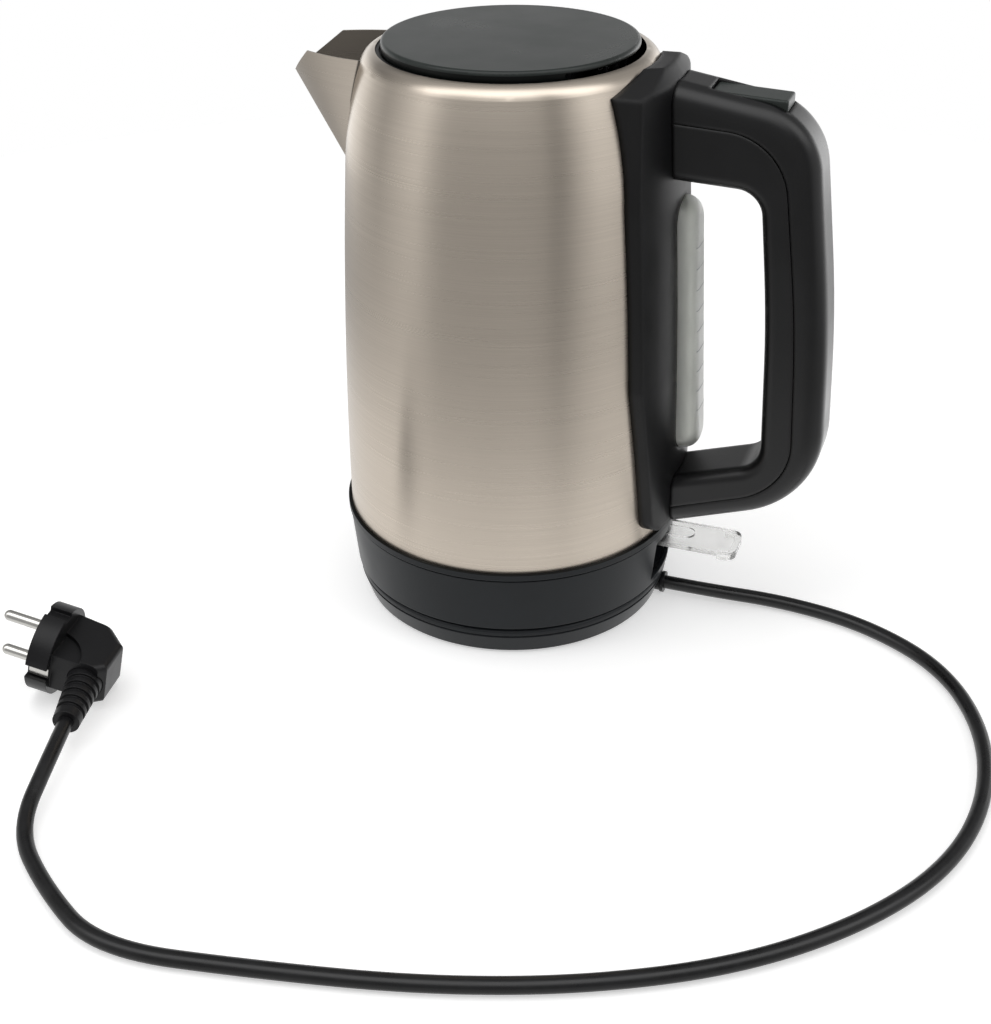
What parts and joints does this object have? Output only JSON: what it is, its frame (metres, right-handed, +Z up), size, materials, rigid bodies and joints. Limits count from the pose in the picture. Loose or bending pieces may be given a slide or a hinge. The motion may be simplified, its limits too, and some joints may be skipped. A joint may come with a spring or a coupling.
{
  "type": "electric jug kettle",
  "caption": "Electric jug kettle in brushed steel with a black lid, handle and skirt, on a round cordless power base with its mains cord and right-angle plug.",
  "frame": {"origin": "on the jug's axis, in the plane that the base's feet stand on", "axes": "+Z up along the jug's axis, +X towards the handle, the spout towards -X"},
  "size_m": [0.4117, 0.3589, 0.2542],
  "materials": {
    "steel": "brushed round the jug",
    "plain_steel": "plain",
    "black": "fine matt",
    "lid_black": "satin",
    "clear": "clear moulding",
    "rubber": "matt",
    "cord_black": "smooth sheath",
    "brass": "bright",
    "nickel": "bright",
    "aluminium": "plain",
    "inner_white": "plain",
    "seal": "soft",
    "lamp": "clear red"
  },
  "bodies": {
    "power_base": {"base_top_shell": "black", "base_bottom_plate": "black", "base_feet": "rubber", "base_screws": "plain_steel", "base_socket": "black", "base_contacts": "brass", "cord_gland": "rubber", "power_cord": "cord_black", "plug_body": "black", "plug_earth_clips": "nickel", "plug_pins": "nickel", "plug_strain_relief": "black"},
    "coupler": {"kettle_coupler": "black", "coupler_contacts": "brass"},
    "kettle": {"body_shell": "steel", "spout": "steel", "spout_filter": "inner_white", "skirt": "black", "lever_axle": "plain_steel", "bottom_cover": "black", "bottom_screws": "plain_steel", "element_seal": "seal", "element_plate": "plain_steel", "heating_element": "aluminium", "control_unit": "inner_white", "indicator_lamp": "lamp", "steam_tube": "inner_white", "handle_strip": "black", "water_window": "clear", "window_gasket": "seal", "handle_outer_shell": "black", "handle_inner_shell": "black", "handle_screws": "plain_steel", "lid_collar": "black", "hinge_bracket": "black", "hinge_pin": "plain_steel"},
    "lid": {"lid_cover": "lid_black", "lid_inner": "black", "lid_seal": "seal", "lid_screws": "plain_steel", "lid_hinge_arm": "black"},
    "lid_button": {"lid_button": "black"},
    "lid_latch": {"lid_latch": "black"},
    "switch": {"switch_lever": "clear"}
  },
  "joints": [
    {"name": "kettle_lift", "type": "slide", "parent": "power_base", "child": "coupler", "axis": [0, 0, 1], "range_m": [0, 0.06]},
    {"name": "kettle_swivel", "type": "hinge", "parent": "coupler", "child": "kettle", "pos_m": [0, 0, 0], "axis": [0, 0, 1], "continuous": true},
    {"name": "lid_hinge", "type": "hinge", "parent": "kettle", "child": "lid", "pos_m": [0.042, 0, 0.249], "axis": [0, 1, 0], "range_deg": [0, 50]},
    {"name": "button_press", "type": "slide", "parent": "kettle", "child": "lid_button", "axis": [0, 0, -1], "range_m": [0, 0.003], "stiffness_N_per_m": 400, "springref_m": -0.004},
    {"name": "latch_slide", "type": "slide", "parent": "kettle", "child": "lid_latch", "axis": [1, 0, 0], "range_m": [0, 0.003]},
    {"name": "switch_rock", "type": "hinge", "parent": "kettle", "child": "switch", "pos_m": [0.066, 0, 0.0336], "axis": [0, 1, 0], "range_deg": [0, 14]}
  ],
  "couplings": [
    {"joint": "latch_slide", "follows": "button_press", "ratio": 1}
  ]
}
